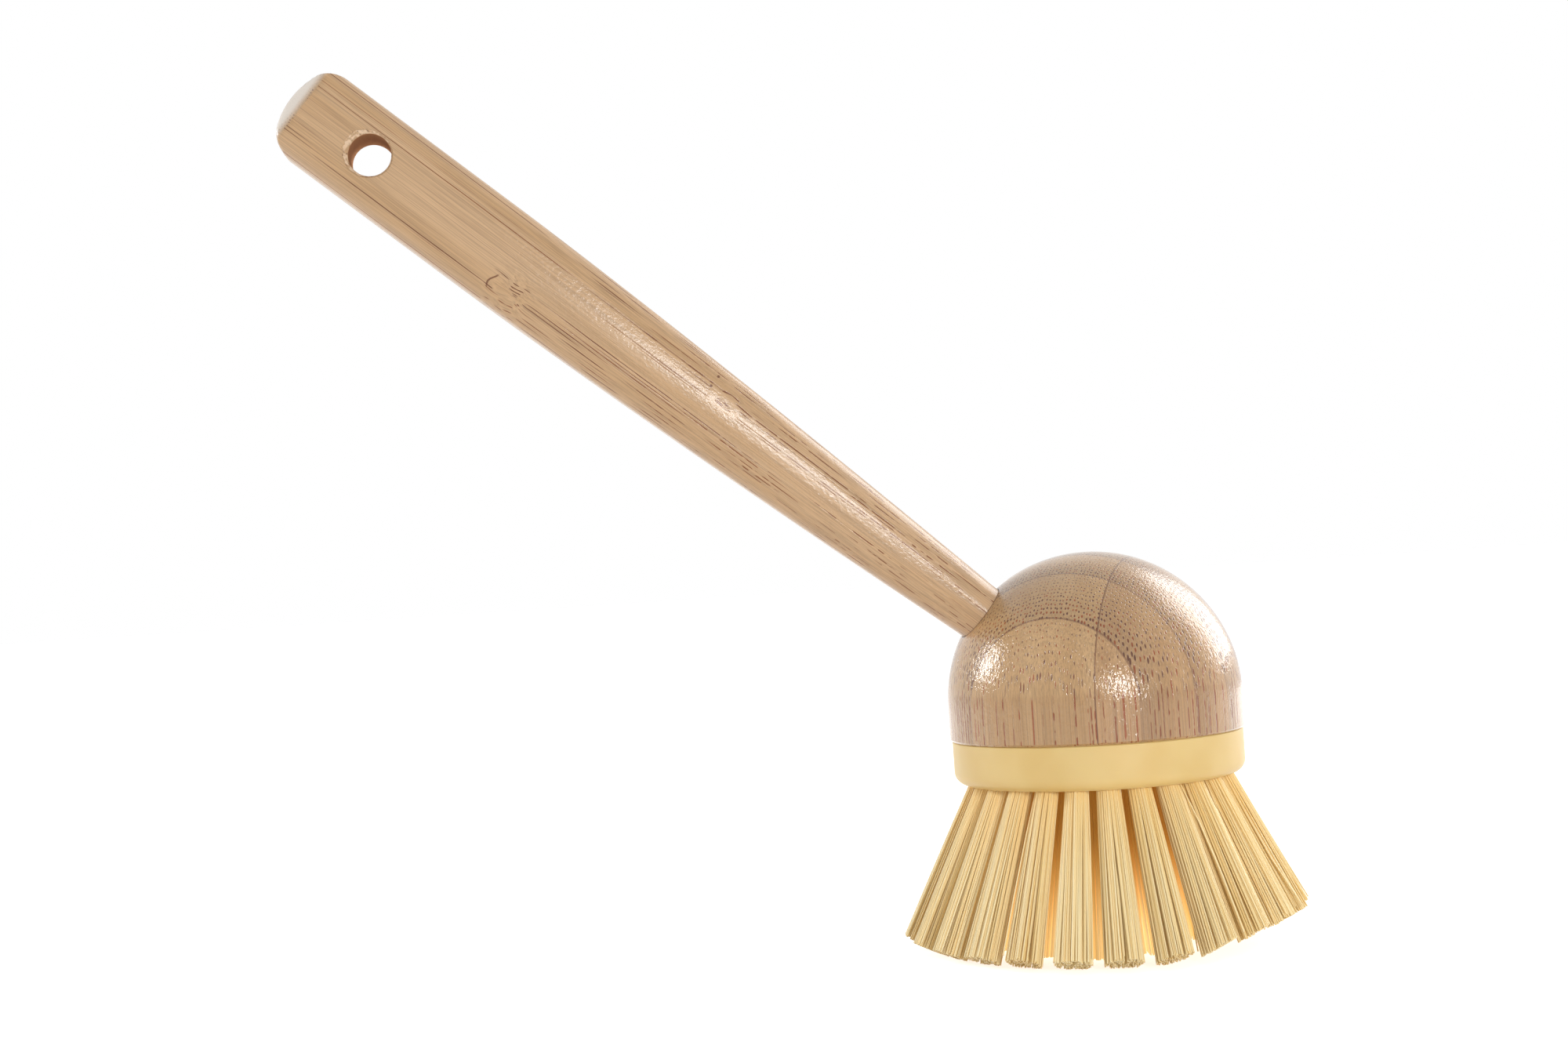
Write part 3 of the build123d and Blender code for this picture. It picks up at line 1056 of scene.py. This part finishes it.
@dataclass
class Head:
    """Half ball on a short skirt, turned from a glued block of bamboo staves."""

    radius: float = 30.0 * MM
    skirt_height: float = 7.1 * MM
    seam: float = 41.7 * MM
    rim_break: float = 0.4 * MM
    recess_radius: float = 20.3 * MM
    recess_depth: float = 6.3 * MM
    bore_radius: float = 6.1 * MM
    bore_end: float = 13.6 * MM
    stave_thickness: float = 9.2 * MM
    front_seam: float = 24.35 * MM
    cross_seam: float = 9.75 * MM
    turned: float = math.radians(-32.5)
    layers: int = 7
    steps: int = 240
    skirt_rows: int = 5
    dome_rows: int = 60
    bore_steps: int = 128
    bore_length_share: float = 1.4
    stave_weld: float = 0.0005 * MM
    marks: StaveMarks = StaveMarks()
    handle: Handle = field(default_factory=Handle)
    finish: BambooFinish = BambooFinish(
        name="head_bamboo",
        pale=linear(195, 158, 113),
        mid=linear(186, 147, 101),
        dark=linear(92, 42, 18),
        rust=linear(156, 76, 18),
        spacing=0.72,
        size=0.24,
        wander=0.25,
        gloss=0.42,
        bump=0.115 * MM,
        coat=1.0,
        coat_roughness=0.10,
        calm=(0.6, 0.95),
    )

    @property
    def ball_centre(self) -> float:
        """Height of the ball's centre."""
        return self.seam + self.skirt_height

    @property
    def turn(self) -> Matrix:
        """Rotation whose X runs across the staves and whose Y runs from the front stave to the back one."""
        return Matrix.Rotation(self.turned, 3, "Z")

    def outline(self) -> list[Span]:
        """The turned outline, from the socket's middle round the rim to the top."""
        points = [(0.0, self.seam + self.recess_depth), (self.recess_radius, self.seam + self.recess_depth)]
        points += [(self.recess_radius, self.seam), (self.radius - self.rim_break, self.seam)]
        straight, rows = self.skirt_height - self.rim_break, self.skirt_rows
        points += [(self.radius, self.seam + self.rim_break + straight * row / rows) for row in range(rows)]
        points += arc(self.radius, (0.0, self.ball_centre), 0, 90, self.dome_rows)
        points[-1] = (0.0, self.ball_centre + self.radius)
        return points

    def blank(self) -> bpy.types.Object:
        """The whole turned head with its socket and the slanting bore for the handle."""
        piece = spun("head_blank", self.outline(), self.steps)
        deselect_all()
        length = self.radius * self.bore_length_share
        along = self.handle.turn @ Vector((0, 0, 1))
        bpy.ops.mesh.primitive_cylinder_add(vertices=self.bore_steps, radius=self.bore_radius, depth=length)
        cutter = bpy.context.object
        middle = self.handle.origin + along * (self.bore_end + length / 2)
        cutter.matrix_world = Matrix.Translation(middle) @ self.handle.turn.to_4x4()
        cut(piece, cutter)
        return piece

    def stave(self, blank: bpy.types.Object, layer: int, side: str) -> bpy.types.Object:
        """One stave, cut out of the turned head along its glue seams.

        Args:
            blank: The whole head.
            layer: Number of the layer from the front, from 0.
            side: Which side of the cross seam, left or right.

        Returns:
            The stave.
        """
        piece = blank.copy()
        piece.data = blank.data.copy()
        piece.name = f"bamboo_stave_{layer + 1}_{side}"
        bpy.context.collection.objects.link(piece)
        activate(piece)
        across, back = self.turn @ Vector((1, 0, 0)), self.turn @ Vector((0, 1, 0))
        start = self.stave_thickness * (layer - 1) - self.front_seam
        planes = [(back * (start + self.stave_thickness), back)]
        if layer:
            planes.append((back * start, -back))
        planes.append((across * self.cross_seam, across if side == "left" else -across))
        bpy.ops.object.mode_set(mode="EDIT")
        for point, normal in planes:
            bpy.ops.mesh.select_all(action="SELECT")
            bpy.ops.mesh.bisect(plane_co=point, plane_no=normal, use_fill=True, clear_outer=True)
        weld(self.stave_weld)
        return piece

    def material(self) -> bpy.types.Material:
        """Bamboo with its fibres upright, each stave dense at its front side and open at its back."""
        material, graph, shader = new_material(self.finish.name)
        place = turned_place(graph, self.turn, Vector((0, 0, self.ball_centre)))
        x, y, z = graph.parts(place)
        marks, thickness, cross = self.marks, self.stave_thickness / MM, self.cross_seam / MM
        depth = graph.maths("DIVIDE", graph.maths("ADD", y, self.front_seam / MM), thickness)
        layer = graph.maths("FLOOR", depth)
        share = graph.maths("FRACT", depth)
        right = graph.maths("GREATER_THAN", x, cross)
        layer_jump, side_jump = marks.jumps
        jump = graph.combined(graph.times(layer, layer_jump), graph.times(right, side_jump), 0.0)
        front = graph.line(graph.maths("LESS_THAN", layer, 0.0), marks.front_density, 1.0)
        skirted = graph.ranged(z, *marks.skirt_edge)
        density = graph.times(graph.ranged(share, *marks.density), front)
        density = graph.most(density, graph.times(skirted, marks.skirt_density))
        broken = graph.times(skirted, marks.skirt_broken)
        wood = self.finish.placed(graph, graph.vector("ADD", place, jump), density, broken)

        luck = graph.add("ShaderNodeTexWhiteNoise", noise_dimensions="2D")
        graph.feed(luck.inputs["Vector"], graph.combined(layer, right, 0.0))
        tint = graph.times(graph.line(luck.outputs[0], *marks.tint), graph.line(right, marks.right_tint, 1.0))
        redder = graph.times(tint, graph.line(right, marks.right_red, 1.0))
        cast = graph.combined(tint, redder, redder)
        colour = graph.mixed(1.0, wood.outputs["Color"], cast, "MULTIPLY")
        colour = graph.dimmed(colour, graph.ranged(share, *marks.crowded))

        to_layer = graph.times(graph.maths("PINGPONG", depth, 0.5), thickness)
        faint = graph.ranged(skirted, 0.0, 1.0, *marks.layer_glue_share)
        layer_glue = graph.times(graph.ranged(to_layer, *marks.layer_glue), faint)
        to_cross = graph.apart(x, cross)
        cross_glue = graph.times(graph.ranged(to_cross, *marks.cross_glue), marks.cross_glue_share)
        colour = graph.mixed(graph.most(layer_glue, cross_glue), colour, self.finish.dark)
        # Darkens a thin ring round the bore's edge: partly a glue line, partly painted shade in the gap where
        # the handle enters.
        bore_x, bore_y, _ = graph.parts(turned_place(graph, self.handle.turn, self.handle.origin))
        to_bore = graph.vector("LENGTH", graph.combined(bore_x, bore_y, 0.0))
        bore_glue_and_shade = graph.ranged(to_bore, *[self.bore_radius / MM + edge for edge in marks.bore_edge])
        colour = graph.mixed(graph.times(bore_glue_and_shade, marks.bore_glue_and_shade_share), colour, self.finish.dark)
        tone = graph.ranged(skirted, 0.0, 1.0, *marks.skirt_tone)
        greener, bluer = [graph.maths("POWER", tone, power) for power in marks.skirt_powers]
        colour = graph.mixed(1.0, colour, graph.combined(tone, greener, bluer), "MULTIPLY")
        self.finish.lacquered(graph, shader, wood, colour)
        return material

    def build(self) -> None:
        """Makes and dresses every stave."""
        blank = self.blank()
        finish = self.material()
        for layer in range(self.layers):
            for side in ("left", "right"):
                piece = self.stave(blank, layer, side)
                finish_piece(piece, Body.BRUSH, finish, [f"head_stave_{layer + 1}_{side}"])
        bpy.data.objects.remove(blank)


@dataclass
class Ring:
    """One circle of tufts in the plate."""

    name: str
    radius: float
    splay: float
    count: int
    start: float

    def mouths(self, height: float) -> list[Matrix]:
        """Where each tuft leaves the plate: Z out along the tuft, X along the ring.

        Args:
            height: Height of the plate's underside.

        Returns:
            One placing matrix for each tuft.
        """
        places = []
        splay = math.radians(self.splay)
        for place in range(self.count):
            angle = math.radians(self.start + 360 / self.count * place)
            outward = Vector((math.sin(angle), -math.cos(angle), 0))
            around = Vector((math.cos(angle), math.sin(angle), 0))
            axis = outward * math.sin(splay) - Vector((0, 0, math.cos(splay)))
            turn = Matrix((around, axis.cross(around), axis)).transposed()
            mouth = outward * self.radius + Vector((0, 0, height))
            places.append(Matrix.Translation(mouth) @ turn.to_4x4())
        return places


RINGS = (
    Ring("outer", radius=24.2 * MM, splay=25.0, count=25, start=4.25),
    Ring("middle", radius=15.0 * MM, splay=15.5, count=12, start=10.9),
    Ring("inner", radius=8.5 * MM, splay=7.8, count=5, start=40.5),
    Ring("centre", radius=0.0, splay=0.0, count=1, start=0.0),
)


@dataclass
class BrushPlate:
    """Moulded plate with a hole for each tuft and a spigot that seats in the head."""

    bottom: float = 32.7 * MM
    thickness: float = 9.0 * MM
    radius: float = 29.5 * MM
    edge_radius: float = 2.6 * MM
    top_break: float = 0.3 * MM
    spigot_radius: float = 20.0 * MM
    spigot_height: float = 6.0 * MM
    spigot_wall: float = 3.0 * MM
    hole_radius: float = 2.3 * MM
    hole_depth: float = 6.6 * MM
    hole_steps: int = 40
    overrun: float = 2.0 * MM
    edge_steps: int = 10
    steps: int = 192
    finish: PlasticFinish = PlasticFinish(
        name="plate_plastic",
        colour=linear(230, 200, 134),
        shade=linear(225, 192, 123),
        roughness=0.42,
    )

    def outline(self) -> list[Span]:
        """The plate's outline, from its underside's middle round to the inside of the spigot."""
        top = self.bottom + self.thickness
        points = [(0.0, self.bottom)]
        corner = (self.radius - self.edge_radius, self.bottom + self.edge_radius)
        points += arc(self.edge_radius, corner, -90, 0, self.edge_steps)
        points += [(self.radius, top - self.top_break), (self.radius - self.top_break, top)]
        points += [(self.spigot_radius, top), (self.spigot_radius, top + self.spigot_height)]
        inner = self.spigot_radius - self.spigot_wall
        points += [(inner, top + self.spigot_height), (inner, top), (0.0, top)]
        return points

    def build(self) -> None:
        """Makes and dresses the plate."""
        piece = spun("moulded_plate", self.outline(), self.steps)
        length = self.hole_depth + self.overrun
        sunk = Matrix.Translation((0, 0, self.overrun - length / 2))
        size = {"vertices": self.hole_steps, "radius": self.hole_radius, "depth": length}
        drills = []
        for mouth in [mouth for ring in RINGS for mouth in ring.mouths(self.bottom)]:
            deselect_all()
            bpy.ops.mesh.primitive_cylinder_add(**size)
            drills.append(bpy.context.object)
            drills[-1].matrix_world = mouth @ sunk
        deselect_all()
        for drill in drills:
            drill.select_set(True)
        bpy.context.view_layer.objects.active = drills[0]
        bpy.ops.object.join()
        bpy.ops.object.transform_apply(location=True, rotation=True, scale=True)
        cut(piece, bpy.context.object)
        finish_piece(piece, Body.REFILL, self.finish.material(), ["brush_plate"])


@dataclass
class Tufts:
    """Bundles of cut filaments, one in each hole of the plate."""

    TONE = "filament_tone"
    SHELTER = "filament_shelter"

    plate_bottom: float = 32.7 * MM
    outer_length: float = 34.6 * MM
    widest: float = 41.65 * MM
    lowest: float = 0.2 * MM
    worn: float = 3.6 * MM
    worn_unevenness: float = 2.0
    worn_stretch: float = 1.5
    worn_from: float = -1.0 * MM
    worn_to: float = 28.0 * MM
    sunk: float = 2.0 * MM
    root_radius: float = 2.13 * MM
    tip_radii: Span = (4.0 * MM, 3.6 * MM)
    filament_radius: float = 0.155 * MM
    filaments: int = 200
    filament_steps: int = 3
    tip_scatter: float = 0.09 * MM
    bow_scatter: float = 0.07 * MM
    clumps: int = 13
    clump_scatter: float = 0.3
    clumping: float = 0.28
    uneven: float = 0.4 * MM
    stray_share: float = 0.012
    stray_reach: Span = (1.2 * MM, 3.2 * MM)
    stray_side: float = 0.6 * MM
    stray_bow: float = 6.0
    stray_short: float = 1.5 * MM
    own_tone: float = 0.6
    smooth_angle: float = 70.0
    seed: int = 7
    finish: BristleFinish = BristleFinish(
        name="bristle",
        pale=linear(253, 237, 191),
        deep=linear(236, 202, 131),
        # The third colour is the painted shade and through-light of the roots and inner tufts.
        painted_glow_colour=linear(240, 194, 102),
        roughness=0.4,
    )

    def clump_tips(self, chance: random.Random) -> list[Vector]:
        """Where the filaments of one tuft tend to at its tip, in the tip's own unit circle."""
        tips = []
        for place in range(self.clumps):
            angle = place * GOLDEN_ANGLE + chance.uniform(-self.clump_scatter, self.clump_scatter)
            tips.append(self.spread(angle, (place + 0.5) / self.clumps))
        return tips

    def spread(self, angle: float, share: float) -> Vector:
        """A place in the unit circle, on the ring round a share of the circle's area."""
        return Vector((math.cos(angle), math.sin(angle), 0)) * math.sqrt(share)

    def scattered(self, chance: random.Random, scatter: float) -> Vector:
        """A small random step across a tuft."""
        return Vector((chance.gauss(0, scatter), chance.gauss(0, scatter), 0))

    def filament(
        self, ring: Ring, mouth: Matrix, place: int, clumps: list[Vector], chance: random.Random
    ) -> list[Vector]:
        """Points along one filament of a tuft, from inside the hole to its cut end.

        Args:
            ring: The circle that the tuft belongs to.
            mouth: Where the tuft leaves the plate.
            place: The filament's number in the tuft.
            clumps: Where the tuft's filaments tend to.
            chance: Source of its small differences.

        Returns:
            The points in the frame.
        """
        side = self.spread(place * GOLDEN_ANGLE, (place + 0.5) / self.filaments)
        nearest = min(clumps, key=lambda clump: (clump - side).length)
        drawn = side.lerp(nearest, self.clumping)
        around, outward = self.tip_radii
        tip = Vector((drawn.x * around, drawn.y * outward, 0)) + self.scattered(chance, self.tip_scatter)
        bow = self.scattered(chance, self.bow_scatter)
        wear = self.worn_share(mouth.translation.x + tip.x)
        short = chance.random() ** 3 * self.uneven * (1 + self.worn_unevenness * wear) + wear * self.worn
        if chance.random() < self.stray_share:
            aside = chance.choice((-1, 1)) * chance.uniform(*self.stray_reach)
            tip += Vector((aside, chance.uniform(-self.stray_side, self.stray_side), 0))
            bow *= self.stray_bow
            short += chance.random() * self.stray_short
        turn = mouth.to_3x3()
        axis = turn @ Vector((0, 0, 1))
        start = mouth @ (side * self.root_radius - Vector((0, 0, self.sunk)))
        run = mouth @ (tip + Vector((0, 0, self.plate_bottom / -axis.z))) - start
        length = (self.lowest + short - start.z) / run.z * run.length
        if ring.name == "outer":
            length = min(length, self.outer_length + self.sunk - short)
        end = start + run.normalized() * length
        reach = end.xy.length
        if reach > self.widest:
            end.xy *= self.widest / reach
        shares = [step / self.filament_steps for step in range(self.filament_steps + 1)]
        return [start.lerp(end, along) + turn @ (bow * math.sin(math.pi * along)) for along in shares]

    def worn_share(self, x: float) -> float:
        """How far the tips are worn down at a place across the brush, 0 to 1."""
        stretched = x * self.worn_stretch - self.worn_from
        share = min(1.0, max(0.0, stretched / (self.worn_to - self.worn_from)))
        return share * share * (3 - 2 * share)

    def bundle(self, name: str, ring: Ring, mouth: Matrix, chance: random.Random) -> bpy.types.Object:
        """One tuft as a curve with a spline for each filament, made a mesh."""
        curve = bpy.data.curves.new(name, "CURVE")
        curve.dimensions = "3D"
        curve.bevel_depth = self.filament_radius
        curve.bevel_resolution = 1
        curve.use_fill_caps = True
        clumps = self.clump_tips(chance)
        for place in range(self.filaments):
            points = self.filament(ring, mouth, place, clumps, chance)
            spline = curve.splines.new("POLY")
            spline.points.add(len(points) - 1)
            for point, target in zip(points, spline.points):
                target.co = (*point, 1.0)
        activate(linked(name, curve))
        bpy.ops.object.convert(target="MESH")
        piece = bpy.context.object
        points = len(piece.data.vertices)
        shift = chance.random() * (1 - self.own_tone)
        tones = [chance.random() * self.own_tone + shift for _ in range(self.filaments)]
        self.store(piece, self.TONE, np.repeat(tones, points // self.filaments))
        # Marks the inner tufts, which get the painted shade colour and the strongest painted glow.
        self.store(piece, self.SHELTER, np.full(points, 0.0 if ring.name == "outer" else 1.0))
        return piece

    def store(self, piece: bpy.types.Object, name: str, values: np.ndarray) -> None:
        """Writes one number for each point of a piece."""
        attribute = piece.data.attributes.new(name, "FLOAT", "POINT")
        attribute.data.foreach_set("value", values.astype(np.float32))

    def build(self) -> None:
        """Makes and dresses every tuft."""
        chance = random.Random(self.seed)
        finish = self.finish.material()
        for ring in RINGS:
            for place, mouth in enumerate(ring.mouths(self.plate_bottom), start=1):
                piece = self.bundle(f"bundle_{ring.name}_{place:02d}", ring, mouth, chance)
                node = f"tuft_{ring.name}_{place:02d}"
                finish_piece(piece, Body.REFILL, finish, [node], self.smooth_angle)


@dataclass
class Anchors:
    """Flat wire anchors, which the frame's own node shows."""

    finish: WireFinish = WireFinish("anchor_wire", colour=linear(205, 200, 188), roughness=0.3)

    def build(self, nodes: dict[str, bpy.types.Object]) -> None:
        """Dresses the anchors."""
        piece = nodes["tuft_anchors"]
        piece.data.materials.clear()
        piece.data.materials.append(self.finish.material())


@dataclass
class Lamp:
    """One soft rectangular lamp."""

    name: str
    place: tuple[float, float, float]
    width: float
    height: float
    power: float
    roll: float = 0.0


@dataclass
class Studio:
    """Camera, lamps, white surround and pale floor."""

    lens: float = 50.4
    sensor: float = 36.0
    nearest: float = 10 * MM
    camera_place: tuple[float, float, float] = (-108.58 * MM, -441.82 * MM, 79.62 * MM)
    heading: float = 6.08
    pitch: float = 1.155
    roll: float = -3.66
    target: tuple[float, float, float] = (-0.03, 0.0, 0.07)
    floor_drop: float = 0.3 * MM
    floor_size: float = 12.0
    floor_colour: Colour = (0.92, 0.92, 0.92)
    floor_roughness: float = 0.9
    floor_glow: float = 0.70
    surround_light: float = 0.40
    lamps: tuple[Lamp, ...] = (
        Lamp("key_softbox", (0.106, -0.76, 0.20), width=0.24, height=0.12, power=2.4, roll=-40.0),
        Lamp("left_softbox", (-0.72, 0.27, 0.33), width=0.14, height=0.24, power=2.3),
        Lamp("right_softbox", (0.74, 0.42, 0.48), width=0.6, height=0.7, power=6.4),
    )

    def camera(self) -> None:
        """The camera at the photograph's place and angle."""
        data = bpy.data.cameras.new("camera")
        data.lens = self.lens
        data.sensor_width = self.sensor
        data.sensor_fit = "HORIZONTAL"
        data.clip_start = self.nearest
        camera = linked("camera", data)
        turn = rotation(-self.heading, "Z") @ rotation(90 + self.pitch, "X") @ rotation(self.roll, "Z")
        camera.matrix_world = Matrix.Translation(self.camera_place) @ turn
        bpy.context.scene.camera = camera

    def light(self) -> None:
        """The lamps, aimed at the brush."""
        for lamp in self.lamps:
            data = bpy.data.lights.new(lamp.name, "AREA")
            data.shape = "RECTANGLE"
            data.size = lamp.width
            data.size_y = lamp.height
            data.energy = lamp.power
            piece = linked(lamp.name, data)
            piece.visible_camera = False
            aim = (Vector(self.target) - Vector(lamp.place)).to_track_quat("-Z", "Y").to_matrix().to_4x4()
            piece.matrix_world = Matrix.Translation(lamp.place) @ aim @ rotation(lamp.roll, "Z")

    def surround(self) -> None:
        """A soft white world that the camera and reflections see as white."""
        world = bpy.data.worlds.new("surround")
        bpy.context.scene.world = world
        world.use_nodes = True
        graph = Graph(world.node_tree)
        output = graph.add("ShaderNodeOutputWorld")
        background = graph.add("ShaderNodeBackground")
        graph.feed(background.inputs["Color"], (1.0, 1.0, 1.0))
        strength = graph.ranged(self.seen(graph), 0.0, 1.0, self.surround_light, 1.0)
        graph.feed(background.inputs["Strength"], strength)
        graph.feed(output.inputs["Surface"], background.outputs[0])

    def seen(self, graph: Graph) -> Socket:
        """One for what the camera, a reflection or a clear part sees, nought for light on a surface."""
        path = graph.add("ShaderNodeLightPath")
        return graph.most(*[path.outputs[f"Is {kind} Ray"] for kind in ("Camera", "Transmission", "Glossy")])

    def floor(self) -> None:
        """A pale floor that keeps the brush's soft shadow."""
        deselect_all()
        bpy.ops.mesh.primitive_plane_add(size=self.floor_size, location=(0, 0, -self.floor_drop))
        piece = bpy.context.object
        piece.name = "floor"
        material, graph, shader = new_material("pale_floor")
        preset(shader, {"Base Color": (*self.floor_colour, 1.0), "Roughness": self.floor_roughness})
        preset(shader, {"Emission Color": (1.0,) * 4})
        graph.feed(shader.inputs["Emission Strength"], graph.times(self.seen(graph), self.floor_glow))
        piece.data.materials.append(material)

    def build(self) -> None:
        """Sets up the whole studio."""
        bpy.context.scene.view_settings.view_transform = "Standard"
        self.camera()
        self.light()
        self.surround()
        self.floor()


def main() -> None:
    """Loads the frame and builds the brush in it."""
    logging.basicConfig(level=logging.INFO, format="%(name)s %(message)s")
    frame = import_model()
    Studio().build()
    Handle().build()
    Head().build()
    BrushPlate().build()
    Tufts().build()
    Anchors().build(frame["nodes"])


if __name__ == "__main__":
    main()
